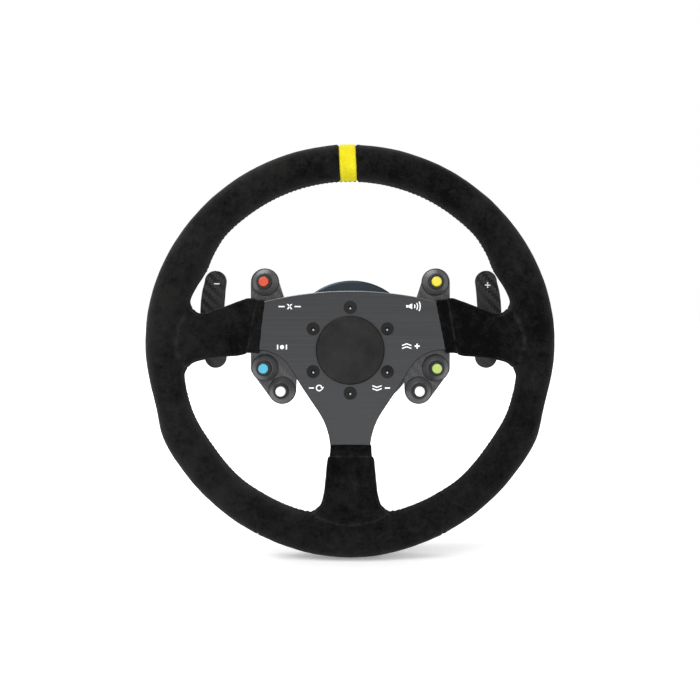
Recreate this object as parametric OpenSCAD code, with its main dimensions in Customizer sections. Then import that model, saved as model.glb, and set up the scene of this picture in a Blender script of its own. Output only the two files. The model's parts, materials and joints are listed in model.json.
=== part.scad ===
// Quick release steering wheel: hub, ball-lock coupling, electronics spacer, carbon button
// plate, spoked wheel with a suede rim, six push buttons and two shift paddles.
// Everything is drawn along the steering axis (x right, y up, z towards the driver) and is
// stood up at the end, so the origin is the middle of the hub's rear mounting face.

/* [Rim] */
// Outer diameter of the rim
rim_d = 330; // [300:5:360]
// Radial width of the rim section
rim_w = 29.5; // [24:0.5:34]
// Front-to-back depth of the rim section
rim_t = 34; // [28:1:40]
// Distance from the hub's rear face to the middle of the rim
rim_z = 151; // [148:1:154]

/* [Spokes] */
// Front face of the spoke plate, from the hub's rear face
plate_z = 140; // [140:1:141]
// Thickness of the spoke plate
plate_t = 4; // [3.5:0.25:4.5]
// Diameter of the wheel bolt circle
bolt_pcd = 70; // [69:0.5:71]
// Diameter of the centre cap
cap_d = 56; // [50:1:57]

/* [Hub] */
// Diameter of the hub's rear flange
flange_d = 128; // [120:1:132]
// Thickness of the hub's rear flange
flange_t = 14; // [12:1:16]
// Outer diameter of the hub's body at its front
hub_d = 77; // [76:1:80]
// Front face of the hub, from its rear face
hub_z = 63; // [62:0.5:63]
// Radius of the splined bore for the steering column
column_r = 8.5; // [8:0.1:9]

/* [Coupling] */
// Radius of the steel spindle
spindle_r = 15.9; // [15.5:0.1:15.9]
// Outer radius of the release collar
collar_r = 34; // [32:0.5:35]
// How far the collar travels from released to locked
collar_travel = 5; // [5:0.5:5.5]
// Diameter of a locking ball
ball_d = 5; // [4.9:0.1:5]

/* [Buttons] */
// Diameter of a button cap
button_d = 8; // [8:0.2:9]
// Diameter of a bezel's foot
bezel_d = 21.2; // [20:0.2:21.6]

/* [Paddles] */
// Width of a paddle blade
blade_w = 20.8; // [18:0.2:22]
// Thickness of a paddle blade
blade_t = 3; // [2:0.5:3]

/* [Hidden] */
$fn = 64;
eps = 0.5; // how far a cutting tool runs past a face

// colours
suede = [0.09, 0.09, 0.1];
anodised = [0.3, 0.3, 0.31];
hub_grey = [0.27, 0.31, 0.34];
black = [0.06, 0.06, 0.07];
carbon = [0.1, 0.1, 0.11];
steel = [0.62, 0.62, 0.64];
gold = [0.95, 0.66, 0.12];
marker_yellow = [0.95, 0.85, 0.1];
board_green = [0.05, 0.25, 0.12];
magnet_silver = [0.7, 0.7, 0.72];

// rim
rim_mid = rim_d / 2 - rim_w / 2;
core_r = 9;
marker_angle = 5;

// hub: bolt circle of the coupling base, flange holes and the side hole for the wires
base_pcd = 62;
flange_holes_r = 54;
wire_z = 42;

// stack along the axis, from the hub to the driver
base_z = hub_z + 13;
sleeve_z = base_z + 0.5;
flange_z = 107;
case_z = 112;
plate_back = plate_z - plate_t;
board_z = 131.5;
board_t = 3;
board_front = board_z + board_t;
socket_z = 122;
socket_turn = 30; // the cable socket leaves between two bolts, this far from straight down

// coupling
sleeve_in = 16;
sleeve_out = 19.5;
collar_len = 23;
collar_z = flange_z - 1 - collar_len;
ball_r = ball_d / 2;
ball_z = collar_z + 6;
ball_in = spindle_r + 0.15 + ball_r;
ball_step = 1.3;
groove_r = ball_in - ball_step - ball_r - 0.05;
ramp = ball_step / collar_travel;
ramp_cos = cos(atan(ramp));
ramp_r = ball_in + (ball_r + 0.05) / ramp_cos;
guide_r = sleeve_out + 0.05;
ramp_end = 6 + (ramp_r - guide_r) / ramp;
bolt_r = 2.5;
bolt_gap = 2.75;
head_r = 5.15;
fin_r = 46;

// buttons: place of each on the button plate
upper_button = [69.9, 55.8];
middle_button = [70.2, -14.6];
lower_button = [56.2, -33.1];
function left(p) = [-p[0], p[1]];
button_r = button_d / 2;
stem_r = 6;
barrel_h = 10.8; // top of a bezel, above the button plate
barrel_r = 6; // its black collar, in which the cap runs
cap_top = board_front + barrel_h + 2.8;
button_sites = [for (p = [upper_button, middle_button, lower_button]) each [left(p), p]];

// ears of the button plate
ear_x = 82;
ear_r = 11.5;

// paddles
hinge_x = 54;
hinge_z = 98.5;
pin_r = 2;
arm_t = 3;
arm_z = 97;
housing_z = 103;
housing_y = [29, 50.5];
housing_x = [57.5, 80];
housing_cut = [3, 7.5]; // what is cut off its upper inner corner
base_t = 7.5; // base of a housing, against the button plate
tail_x = 43;
tail_y = [29, 42];
dowel_z = 113;
dowel_y = [41.5 - 4.7, 41.5 + 4.7];
bumper = [74, 41.5];
bumper_out = 0.5;
magnet = [46.5, 35.5];
magnet_r = 3;
screw_sites = [[49, 38], [63, 46.5], [60.5, 32.5], [76.5, 32.5]];
blade_screws = [[72, 20], [72, 50]];
blade_low = -17.3;
blade_high = 68;
blade_in = 108.8;
blade_bow = 2.4;
tip_taper = 0.8; // how much smaller the radius of a blade's tips is than half its width

// spokes: the arms leave the flat plate here and rise to the rim
arm_start = 95;
arm_rise = atan((rim_z - plate_z + plate_t / 2) / (rim_mid - 9 - arm_start));

module upright() { rotate([90, 0, 0]) children(); }
module ring(r_out, r_in, z0, z1) {
    difference() {
        translate([0, 0, z0]) cylinder(r = r_out, h = z1 - z0);
        translate([0, 0, z0 - eps]) cylinder(r = r_in, h = z1 - z0 + 2 * eps);
    }
}
module six(pcd = bolt_pcd) {
    for (i = [0:5]) rotate([0, 0, 30 + 60 * i]) translate([pcd / 2, 0, 0]) children();
}
module sides() { for (s = [0, 1]) mirror([s, 0, 0]) children(); }
module at_site(p, z = 0) { translate([p[0], p[1], z]) children(); }
function arc(c, r, a0, a1, n) = [for (i = [0:n])
    let (a = a0 + (a1 - a0) * i / n) [c[0] + r * cos(a), c[1] + r * sin(a)]];
module hex(flats, h) { cylinder(d = flats / cos(30), h = h, $fn = 6); }

// ---- hub side: fixed to the column ----
hub_profile = concat(
    [[13, 0], [flange_d / 2 - 1.5, 0], [flange_d / 2, 1.5],
        [flange_d / 2, flange_t - 1.5], [flange_d / 2 - 1.5, flange_t]],
    [for (a = [90:-15:0]) [35.5 + 9 * (1 - sin(90 - a)), flange_t + 9 * (1 - sin(a))]],
    [[hub_d / 2 - 1, hub_z - 7], [hub_d / 2 + 2.5, hub_z - 5.5],
        [hub_d / 2 + 2.5, hub_z - 1], [hub_d / 2 + 1.5, hub_z], [26, hub_z],
        [26, 34], [22, 28], [13, 28]]);
module hub() {
    color(hub_grey) upright() difference() {
        rotate_extrude($fn = 96) polygon(hub_profile);
        six(base_pcd) translate([0, 0, hub_z - 12]) cylinder(r = bolt_r, h = 12 + eps);
        for (i = [0:3]) rotate([0, 0, 45 + 90 * i]) translate([flange_holes_r, 0, -eps])
            cylinder(r = 1.65, h = flange_t + 2 * eps);
        translate([0, -20, wire_z]) rotate([90, 0, 0]) cylinder(r = 4.5, h = 30);
        translate([0, 0, -eps]) ring(44, 30, 0, 5 + eps);
    }
}
module spline_insert() {
    color(steel) upright() difference() {
        ring(13, column_r, 0, 28);
        for (i = [0:19]) rotate([0, 0, 18 * i]) translate([column_r - 1, -0.2, -eps])
            cube([1.8, 0.4, 28 + 2 * eps]);
    }
}
module wire_grommet() {
    color(black) upright() translate([0, 0, wire_z]) rotate([90, 0, 0]) difference() {
        union() {
            translate([0, 0, 29]) cylinder(r = 4.5, h = 9.5);
            translate([0, 0, 38.5]) cylinder(r = 6.5, h = 1.9);
        }
        translate([0, 0, 28]) cylinder(r = 2.5, h = 14);
    }
}
module qr_base() {
    color(black) upright() difference() {
        rotate_extrude() polygon([[24, hub_z], [39, hub_z], [39, base_z - 1],
            [38, base_z], [20, base_z], [20, base_z - 6], [24, base_z - 6]]);
        six(base_pcd) translate([0, 0, hub_z - eps]) cylinder(r = bolt_r, h = 20);
        six(base_pcd) translate([0, 0, base_z - 6]) cylinder(r = 4.7, h = 20);
        six(base_pcd) translate([0, -4.7, base_z - 6]) cube([12, 9.4, 20]);
    }
}
module base_screws() {
    color(steel) upright() six(base_pcd) difference() {
        union() {
            translate([0, 0, hub_z - 10]) cylinder(r = bolt_r, h = base_z - hub_z + 5);
            translate([0, 0, base_z - 6]) cylinder(r = 4.2, h = 4.6);
        }
        translate([0, 0, base_z - 4]) hex(4, 10);
    }
}
module spindle() {
    color(steel) upright() difference() {
        union() {
            rotate_extrude() polygon([[8, hub_z - 5], [26, hub_z - 5], [26, hub_z],
                [24, hub_z], [24, base_z - 6], [spindle_r, base_z - 6],
                [spindle_r, ball_z - 3.5], [groove_r, ball_z - 1.9],
                [groove_r, ball_z + 1.9], [spindle_r, ball_z + 3.5],
                [spindle_r, 102], [spindle_r - 2, 104], [8, 104]]);
            for (i = [0:5]) rotate([0, 0, 60 * i]) translate([spindle_r - 1, -2.5, base_z - 6])
                cube([3, 5, 13]);
        }
        translate([0, 0, hub_z - 5 - eps]) cylinder(r = 9.5, h = 30);
    }
}
module contact_socket() {
    color(black) upright() difference() {
        union() {
            translate([0, 0, 88]) cylinder(r = 8, h = 15);
            for (i = [0:3]) rotate([0, 0, 90 * i]) translate([4, 0, 84])
                cylinder(r = 0.8, h = 4);
        }
        for (i = [0:3]) rotate([0, 0, 90 * i]) translate([4, 0, 101])
            cylinder(r = 1.4, h = 4);
    }
}

// ---- wheel side of the coupling ----
module qr_body() {
    color(black) upright() difference() {
        rotate_extrude() polygon([[sleeve_in, sleeve_z], [sleeve_out, sleeve_z],
            [sleeve_out, sleeve_z + 0.5], [18.9, sleeve_z + 0.5], [18.9, sleeve_z + 1.5],
            [sleeve_out, sleeve_z + 1.5], [sleeve_out, flange_z], [40, flange_z],
            [41, flange_z + 1], [41, case_z], [7, case_z], [7, flange_z],
            [sleeve_in, flange_z]]);
        for (i = [0:5]) rotate([0, 0, 60 * i]) translate([10, -2.55, sleeve_z - eps])
            cube([8, 5.1, 8]);
        for (i = [0:5]) rotate([0, 0, 30 + 60 * i]) translate([10, 0, ball_z])
            rotate([0, 90, 0]) cylinder(r = ball_r + 0.06, h = 14);
        six() translate([0, 0, flange_z - eps]) cylinder(r = bolt_r, h = 10);
    }
}
module collar_clip() {
    color(steel) upright() difference() {
        ring(21.2, 18.9, sleeve_z + 0.55, sleeve_z + 1.45);
        translate([15, -2.5, sleeve_z - 1]) cube([8, 5, 4]);
    }
}
module contact_pins() {
    color(gold) upright() {
        ring(7, 2, flange_z, case_z);
        for (i = [0:3]) rotate([0, 0, 90 * i]) translate([4, 0, 103.4])
            cylinder(r = 0.9, h = flange_z - 103.4);
    }
}
module release_collar() {
    z0 = collar_z;
    color(gold) upright() rotate_extrude($fn = 96) polygon([
        [guide_r, z0], [collar_r - 3, z0], [collar_r, z0 + 1.5], [collar_r, z0 + 7],
        [collar_r - 1, z0 + 8], [collar_r - 4.5, z0 + 8.5], [collar_r - 4.5, z0 + 10.6],
        [fin_r, z0 + 11.2], [fin_r, z0 + 11.8], [collar_r - 4.5, z0 + 12.4],
        [collar_r - 4.5, z0 + 14.5], [collar_r - 1, z0 + 15], [collar_r, z0 + 16],
        [collar_r, z0 + 21.5], [collar_r - 1.5, z0 + 23], [24.4, z0 + 23],
        [24.4, z0 + 17], [guide_r, z0 + 17], [guide_r, z0 + ramp_end],
        [ramp_r + 3 * ramp, z0 + 3], [guide_r, z0 + 3]]);
}
// round wire wound round the axis: one ring of corners per step along the helix
module coil(r, wire, z0, z1, turns, steps, sides_n = 6) {
    n = turns * steps;
    points = [for (i = [0:n], k = [0:sides_n - 1])
        let (a = 360 * i / steps, b = 360 * k / sides_n, rr = r + wire * cos(b))
        [rr * cos(a), rr * sin(a), z0 + wire + (z1 - z0 - 2 * wire) * i / n + wire * sin(b)]];
    walls = [for (i = [0:n - 1], k = [0:sides_n - 1])
        let (m = (k + 1) % sides_n, p = i * sides_n)
        [p + k, p + m, p + m + sides_n, p + k + sides_n]];
    first = [[for (k = [sides_n - 1:-1:0]) k]];
    last = [[for (k = [0:sides_n - 1]) n * sides_n + k]];
    polyhedron(points, concat(first, walls, last));
}
module collar_spring() {
    color(steel) upright() coil(22, 0.7, collar_z + 17, flange_z, 3, 24);
}
module lock_ball(i) {
    color(steel) upright() rotate([0, 0, 30 + 60 * (i - 1)]) translate([ball_in, 0, ball_z])
        sphere(r = ball_r, $fn = 48);
}

// ---- electronics spacer ----
module electronics_case() {
    color(black) upright() difference() {
        union() {
            ring(41.5, 28, case_z, board_z);
            ring(43, 40, case_z + 2, board_z - 2);
            ring(28, 7, case_z, case_z + 2);
        }
        six() translate([0, 0, case_z - eps]) cylinder(r = bolt_gap, h = 30);
        for (i = [0:11]) rotate([0, 0, 15 + 30 * i]) translate([39.5, -4, case_z + 6])
            cube([6, 8, 3]);
        for (i = [0:5]) rotate([0, 0, 60 * i]) translate([41.4, -0.5, case_z])
            cube([4, 1, 20]);
        rotate([0, 0, socket_turn]) translate([0, -26, socket_z]) rotate([90, 0, 0])
            cylinder(r = 5, h = 20);
    }
}
module circuit_board() {
    color(board_green) upright() {
        ring(27.6, 3, case_z + 8, case_z + 9.6);
        for (i = [0:3]) rotate([0, 0, 45 + 90 * i]) translate([12, -4, case_z + 9])
            cube([8, 8, 2]);
        for (i = [0:3]) rotate([0, 0, 90 * i]) translate([22, 0, case_z + 2])
            cylinder(r = 2, h = 6.5);
    }
}
module cable_socket() {
    color(steel) upright() translate([0, 0, socket_z]) rotate([90, 0, socket_turn]) difference() {
        union() {
            translate([0, 0, 29]) cylinder(r = 5, h = 14);
            translate([0, 0, 43]) cylinder(r = 6.2, h = 3);
        }
        translate([0, 0, 36]) cylinder(r = 3.6, h = 12);
    }
}

// ---- plates ----
module plate_spacer() {
    color(black) upright() difference() {
        ring(41, 28, board_front, plate_back);
        six() translate([0, 0, board_front - eps]) cylinder(r = bolt_gap, h = 8);
    }
}
// outline of the button plate's right half, from the bottom middle round the two ears to the top
ear_outline = concat([[0, -42], [16, -41], [38, -27], [44.3, -24.3]],
    arc(lower_button, ear_r, -180, -36, 12),
    [[ear_x - 1.5, -19.4], [ear_x - 0.4, -17.6], [ear_x, -15]],
    arc([ear_x - ear_r, upper_button[1]], ear_r, 0, 150, 12), [[54.4, 42.5], [40, 40.5], [0, 40.5]]);
module button_plate() {
    color(carbon) upright() difference() {
        translate([0, 0, board_z]) linear_extrude(board_t)
            polygon(concat(ear_outline,
                [for (i = [len(ear_outline) - 2:-1:1]) left(ear_outline[i])]));
        translate([0, 0, board_z - eps]) cylinder(r = 28, h = board_t + 2 * eps);
        six() translate([0, 0, board_z - eps]) cylinder(r = bolt_gap, h = 8);
        for (p = button_sites) at_site(p, board_z - eps) cylinder(r = stem_r, h = 8);
        sides() for (p = screw_sites) at_site(p, board_z - eps) cylinder(r = 1.5, h = 2 + eps);
    }
}

// right edge of the metal plate under the button ears, down to its lower arm
plate_side = [[66.8, 5], [66.8, -0.8], [47.8, -16.3], [43.6, -23.4], [39.4, -30.4],
    [32.2, -41.1], [25.8, -50.6], [22.3, -56.5], [19.7, -62.6], [17.5, -70], [16.4, -77],
    [15.5, -arm_start]];
// the plate is cut round the two lower buttons of each side
scallop = [75.4, -31.2];
scallop_r = 31.3;
// its top edge is a shallow arc
plate_top = 48.5;
top_r = 293;
// flat outline of the metal plate with the inner ends of its three arms
module plate_outline() {
    difference() {
        union() {
            intersection() {
                translate([0, plate_top - top_r]) circle(r = top_r, $fn = 360);
                translate([-arm_start, -2]) square([2 * arm_start, 60]);
                polygon([[-arm_start, 1], [-66, -2], [66, -2], [arm_start, 1],
                    [arm_start, 34.5], [68.8, 60], [-68.8, 60], [-arm_start, 34.5]]);
            }
            polygon(concat(plate_side, [for (i = [len(plate_side) - 1:-1:0]) left(plate_side[i])]));
        }
        sides() translate(scallop) circle(r = scallop_r, $fn = 128);
    }
}
module sloped(angle, width_in, width_out, shift = 0) {
    reach = (rim_mid - arm_start) / cos(arm_rise);
    rotate([0, 0, angle]) translate([arm_start, 0, plate_back]) rotate([0, -arm_rise, 0])
        linear_extrude(plate_t)
            polygon([[-0.5, shift - width_in / 2], [reach, shift - width_out / 2],
                [reach, shift + width_out / 2], [-0.5, shift + width_in / 2]]);
}
module rim_tube(r) {
    translate([0, 0, rim_z]) rotate_extrude($fn = 120) translate([rim_mid, 0]) circle(r = r, $fn = 32);
}
module arms() {
    sloped(0, 33.5, 12.3, 17.75);
    sloped(180, 33.5, 12.3, -17.75);
    sloped(270, 30, 36);
}
module spoke_frame() {
    color(anodised) upright() difference() {
        union() {
            translate([0, 0, plate_back]) linear_extrude(plate_t) plate_outline();
            arms();
        }
        rim_tube(core_r);
        translate([0, 0, plate_back - eps]) cylinder(r = 24, h = plate_t + 2 * eps);
        six() translate([0, 0, plate_back - eps]) cylinder(r = bolt_gap, h = 8);
        six() translate([0, 0, plate_z - 2.65]) cylinder(r1 = bolt_r, r2 = head_r, h = 2.65);
        six() translate([0, 0, plate_z]) cylinder(r = head_r, h = 1);
    }
}
module wheel_screws() {
    color(black) upright() six() difference() {
        union() {
            translate([0, 0, flange_z]) cylinder(r = bolt_r, h = plate_z - 2.65 - flange_z);
            translate([0, 0, plate_z - 2.65]) cylinder(r1 = bolt_r, r2 = head_r, h = 2.65);
        }
        translate([0, 0, plate_z - 2.2]) hex(3, 5);
    }
}
module centre_cap() {
    color(black) upright() rotate_extrude($fn = 96) polygon([[0, plate_back], [24, plate_back],
        [24, plate_z], [cap_d / 2, plate_z], [cap_d / 2, plate_z + 2.2],
        [cap_d / 2 - 1, plate_z + 3.2], [cap_d / 2 - 4, plate_z + 3.8], [0, plate_z + 4.2]]);
}

// ---- rim ----
function ellipse(a, b, n) = [for (i = [0:n - 1]) [a * cos(360 * i / n), b * sin(360 * i / n)]];
module rim_section(grow = 0, hollow = core_r) {
    translate([rim_mid, 0]) difference() {
        polygon(ellipse(rim_w / 2 + grow, rim_t / 2 + grow, 24));
        if (grow == 0) circle(r = hollow, $fn = 32);
        if (grow > 0) polygon(ellipse(rim_w / 2, rim_t / 2, 24));
    }
}
module rim_core() { color(steel) upright() rim_tube(core_r); }
module rim_grip() {
    color(suede) upright() difference() {
        translate([0, 0, rim_z]) rotate_extrude($fn = 120) rim_section();
        arms();
    }
}
module centre_marker() {
    color(marker_yellow) upright() translate([0, 0, rim_z])
        rotate([0, 0, 90 - marker_angle / 2]) rotate_extrude(angle = marker_angle)
            rim_section(0.5);
}

// ---- suede sleeves over the arms ----
module sleeve(angle, inner, top_in, top_out, low_in, low_out) {
    difference() {
        union() {
            rotate([0, 0, angle]) translate([0, 0, plate_back - 1.3]) linear_extrude(plate_t + 2.6)
                polygon([[inner, low_in], [arm_start + 1, low_in], [arm_start + 1, top_in],
                    [inner, top_in]]);
            rotate([0, 0, angle]) translate([arm_start, 0, plate_back - 3]) rotate([0, -arm_rise, 0])
                linear_extrude(plate_t + 6)
                    polygon([[0.5, low_in], [44, low_out], [44, top_out], [0.5, top_in]]);
        }
        translate([0, 0, plate_back]) linear_extrude(plate_t) plate_outline();
        arms();
        translate([0, 0, rim_z]) rotate_extrude($fn = 120) translate([rim_mid, 0])
            polygon(ellipse(rim_w / 2, rim_t / 2, 24));
        rotate([0, 0, angle]) translate([0, 0, plate_z - 30]) cube([71, 90, 60]);
    }
}
module sleeve_right() { color(suede) upright() sleeve(0, 72, 40.5, 47, -2.2, -14); }
module sleeve_left() { color(suede) upright() sleeve(180, 72, 2.2, 14, -40.5, -47); }
module sleeve_bottom() { color(suede) upright() sleeve(270, 76.7, 17.5, 26, -17.5, -26); }

// ---- buttons ----
module button_bezels() {
    color(black) upright() for (p = button_sites) at_site(p, board_front) difference() {
        union() {
            rotate_extrude() polygon([[0, 0], [bezel_d / 2, 0], [bezel_d / 2, 1.3],
                [bezel_d / 2 - 0.5, 2], [6.9, 6.9], [6.4, 7.3], [barrel_r, 7.3],
                [barrel_r, barrel_h - 0.4], [barrel_r - 0.4, barrel_h], [0, barrel_h]]);
            translate([0, 0, -14]) cylinder(r = stem_r, h = 14);
        }
        translate([0, 0, -14 - eps]) cylinder(r = button_r + 0.06, h = 40);
    }
}
module button_nuts() {
    color(steel) upright() for (p = button_sites) at_site(p, board_z - 3) difference() {
        hex(15, 3);
        translate([0, 0, -eps]) cylinder(r = stem_r, h = 4);
    }
}
module button_switches() {
    color(black) upright() for (p = button_sites) at_site(p, board_front - 17) difference() {
        cylinder(r = 7.6, h = 11);
        translate([0, 0, 3]) cylinder(r = stem_r, h = 20);
        translate([0, 0, 1.5]) cylinder(r = 4.5, h = 4);
    }
}
module button_cap(p, colour) {
    color(colour) upright() at_site(p) union() {
        translate([0, 0, cap_top - 1.2]) rotate_extrude() polygon(concat([[0, 0]],
            [for (a = [0:15:90]) [button_r - 1.2 + 1.2 * cos(a), 1.2 * sin(a)]], [[0, 1.2]]));
        translate([0, 0, board_front - 4]) cylinder(r = button_r, h = cap_top - 1.2 - board_front + 4);
        translate([0, 0, board_front - 12.5]) cylinder(r = 1.6, h = 8.5);
    }
}
module button_spring(p) {
    color(steel) upright() at_site(p) coil(3.2, 0.4, board_front - 15.5, board_front - 4, 5, 12, 5);
}

// ---- shift paddles: drawn on the right, mirrored for the left ----
module housing_outline(grow = 0) {
    x0 = housing_x[0] - grow;
    x1 = housing_x[1] + grow;
    y0 = housing_y[0] - grow;
    y1 = housing_y[1] + grow;
    polygon([[x0, y0], [x1, y0], [x1, y1], [x0 + housing_cut[0], y1], [x0, y1 - housing_cut[1]]]);
}
module paddle_housing() {
    depth = board_z - housing_z;
    difference() {
        union() {
            translate([0, 0, housing_z]) linear_extrude(depth) housing_outline();
            translate([tail_x, tail_y[0], housing_z])
                cube([housing_x[0] - tail_x + 1, tail_y[1] - tail_y[0], depth]);
            translate([0, 0, board_z - base_t]) linear_extrude(base_t) housing_outline(0.6);
            for (y = [tail_y[0], tail_y[1] - 3]) hull() {
                translate([hinge_x, y, hinge_z]) rotate([-90, 0, 0]) cylinder(r = 4, h = 3, $fn = 32);
                translate([hinge_x - 4, y, housing_z]) cube([8, 3, 1]);
            }
        }
        translate([hinge_x, tail_y[0] - eps, hinge_z]) rotate([-90, 0, 0])
            cylinder(r = pin_r, h = 30);
        at_site(magnet, housing_z - eps) cylinder(r = magnet_r, h = 4 + eps);
        at_site(bumper, housing_z - eps) cylinder(r = 3, h = 1.5 + eps);
        for (p = screw_sites) at_site(p, board_z - 8) cylinder(r = 1.5, h = 10);
        for (y = dowel_y) translate([68, y, dowel_z]) rotate([0, 90, 0]) cylinder(r = 1.9, h = 20);
        at_site(upper_button, board_z - 15.5) cylinder(r = 9.2, h = 20);
    }
}
module paddle_housings() { color(black) upright() sides() paddle_housing(); }
module housing_screws() {
    color(steel) upright() sides() {
        for (p = screw_sites) at_site(p, board_z - 8) cylinder(r = 1.5, h = 10);
        for (y = dowel_y) translate([68, y, dowel_z]) rotate([0, 90, 0])
            cylinder(r = 1.9, h = housing_x[1] - 67.8);
    }
}
module hinge_pins() {
    color(steel) upright() sides() translate([hinge_x, tail_y[0] - 0.5, hinge_z])
        rotate([-90, 0, 0]) cylinder(r = pin_r, h = tail_y[1] - tail_y[0] + 1);
}
module housing_magnets() {
    color(magnet_silver) upright() sides() at_site(magnet, housing_z - 1.3)
        cylinder(r = magnet_r, h = 5.3);
}
module paddle_bumpers() {
    color(black) upright() sides() at_site(bumper, housing_z - bumper_out)
        cylinder(r = 3, h = 1.5 + bumper_out);
}
module paddle_arm() {
    difference() {
        union() {
            translate([tail_x, 32.3, arm_z]) cube([30, 6.4, arm_t]);
            translate([63, 13, arm_z]) cube([21, 42, arm_t]);
            translate([hinge_x, 32.3, hinge_z]) rotate([-90, 0, 0]) cylinder(r = 4, h = 6.4);
        }
        translate([hinge_x, 31, hinge_z]) rotate([-90, 0, 0]) cylinder(r = pin_r + 0.05, h = 10);
        for (p = blade_screws) at_site(p, arm_z - eps) cylinder(r = 1.5, h = 5);
    }
}
module blade_outline() {
    n = 8;
    r = blade_w / 2 - tip_taper;
    mid = (blade_low + blade_high) / 2;
    half = (blade_high - blade_low) / 2 - r;
    function bow(t) = blade_bow * (1 - t * t);
    function inner(t) = [blade_in + bow(t), mid + half * t];
    polygon(concat(
        [for (i = [0:n]) let (t = 2 * i / n - 1) inner(t) + [blade_w - 2 * tip_taper * pow(t, 4), 0]],
        arc([blade_in + r, mid + half], r, 15, 165, 10),
        [inner(1), inner(0.75), inner(0.25), [86, 36], [82, 55], [63, 55], [63, 14],
            [86, 6], [104, 2], inner(-0.55), inner(-1)],
        arc([blade_in + r, mid - half], r, 195, 345, 10)));
}
module paddle_blade() {
    difference() {
        translate([0, 0, arm_z - blade_t]) linear_extrude(blade_t) blade_outline();
        for (p = blade_screws) at_site(p, arm_z - blade_t - eps) cylinder(r = 1.5, h = 5);
    }
}
module paddle_screws() {
    for (p = blade_screws) at_site(p, arm_z - blade_t) difference() {
        union() {
            cylinder(r = 1.5, h = blade_t + arm_t - 0.2);
            translate([0, 0, -2]) cylinder(r = 3, h = 2);
        }
        translate([0, 0, -2 - eps]) hex(2, 1.2 + eps);
    }
}
module arm_magnet() { at_site(magnet, arm_z + arm_t) cylinder(r = magnet_r, h = 1.6); }

hub();
spline_insert();
wire_grommet();
qr_base();
base_screws();
spindle();
contact_socket();
qr_body();
collar_clip();
contact_pins();
electronics_case();
circuit_board();
cable_socket();
plate_spacer();
button_plate();
spoke_frame();
rim_core();
rim_grip();
sleeve_left();
sleeve_right();
sleeve_bottom();
centre_marker();
centre_cap();
wheel_screws();
button_bezels();
button_nuts();
button_switches();
paddle_housings();
housing_screws();
hinge_pins();
housing_magnets();
paddle_bumpers();
release_collar();
collar_spring();
lock_ball(1);  // lock_ball_1
lock_ball(2);  // lock_ball_2
lock_ball(3);  // lock_ball_3
lock_ball(4);  // lock_ball_4
lock_ball(5);  // lock_ball_5
lock_ball(6);  // lock_ball_6
button_cap(left(upper_button), "red");  // button_red
button_cap(upper_button, "yellow");  // button_yellow
button_cap(left(middle_button), "skyblue");  // button_blue
button_cap(middle_button, "yellowgreen");  // button_green
button_cap(left(lower_button), "white");  // button_white_left
button_cap(lower_button, "white");  // button_white_right
button_spring(left(upper_button));  // spring_red
button_spring(upper_button);  // spring_yellow
button_spring(left(middle_button));  // spring_blue
button_spring(middle_button);  // spring_green
button_spring(left(lower_button));  // spring_white_left
button_spring(lower_button);  // spring_white_right
color(anodised) upright() mirror([1, 0, 0]) paddle_arm();  // paddle_arm_left
color(anodised) upright() paddle_arm();  // paddle_arm_right
color(carbon) upright() mirror([1, 0, 0]) paddle_blade();  // paddle_blade_left
color(carbon) upright() paddle_blade();  // paddle_blade_right
color(steel) upright() mirror([1, 0, 0]) paddle_screws();  // paddle_screws_left
color(steel) upright() paddle_screws();  // paddle_screws_right
color(magnet_silver) upright() mirror([1, 0, 0]) arm_magnet();  // arm_magnet_left
color(magnet_silver) upright() arm_magnet();  // arm_magnet_right
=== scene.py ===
"""Looks of a quick release steering wheel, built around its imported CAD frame.

Places are given along the steering axis, in millimetres: x to the right, y up and z towards
the driver. at() turns them into the row's frame, in metres.
"""

import json
import math

import bmesh
import bpy
import numpy as np
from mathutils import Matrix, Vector, noise
from mathutils.bvhtree import BVHTree

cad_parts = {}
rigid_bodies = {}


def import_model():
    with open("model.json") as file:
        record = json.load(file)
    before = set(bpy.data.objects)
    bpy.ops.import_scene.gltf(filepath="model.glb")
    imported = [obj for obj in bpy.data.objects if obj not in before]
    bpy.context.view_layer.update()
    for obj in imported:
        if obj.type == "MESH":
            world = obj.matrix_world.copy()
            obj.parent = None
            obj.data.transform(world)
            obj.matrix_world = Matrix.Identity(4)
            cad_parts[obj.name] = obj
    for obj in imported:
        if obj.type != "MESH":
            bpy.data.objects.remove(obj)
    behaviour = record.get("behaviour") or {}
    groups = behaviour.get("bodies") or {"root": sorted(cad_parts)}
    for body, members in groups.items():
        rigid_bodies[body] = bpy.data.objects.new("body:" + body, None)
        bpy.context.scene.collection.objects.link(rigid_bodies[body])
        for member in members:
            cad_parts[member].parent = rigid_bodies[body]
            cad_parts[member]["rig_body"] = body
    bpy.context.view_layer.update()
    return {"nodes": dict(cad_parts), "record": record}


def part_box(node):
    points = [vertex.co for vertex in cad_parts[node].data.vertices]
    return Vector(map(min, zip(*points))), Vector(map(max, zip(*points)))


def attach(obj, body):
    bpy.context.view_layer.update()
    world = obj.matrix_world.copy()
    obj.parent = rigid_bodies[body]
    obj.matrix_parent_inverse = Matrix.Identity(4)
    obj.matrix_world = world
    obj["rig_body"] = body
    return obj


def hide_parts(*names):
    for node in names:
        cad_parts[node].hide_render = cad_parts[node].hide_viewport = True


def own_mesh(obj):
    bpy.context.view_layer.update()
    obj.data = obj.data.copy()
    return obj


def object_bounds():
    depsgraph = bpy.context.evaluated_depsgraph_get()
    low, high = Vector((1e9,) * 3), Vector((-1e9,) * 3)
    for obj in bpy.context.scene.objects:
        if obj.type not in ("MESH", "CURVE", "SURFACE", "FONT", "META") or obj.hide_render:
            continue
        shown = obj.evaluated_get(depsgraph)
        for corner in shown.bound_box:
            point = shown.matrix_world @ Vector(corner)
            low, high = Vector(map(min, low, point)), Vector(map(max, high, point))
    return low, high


MM = 0.001
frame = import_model()


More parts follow.
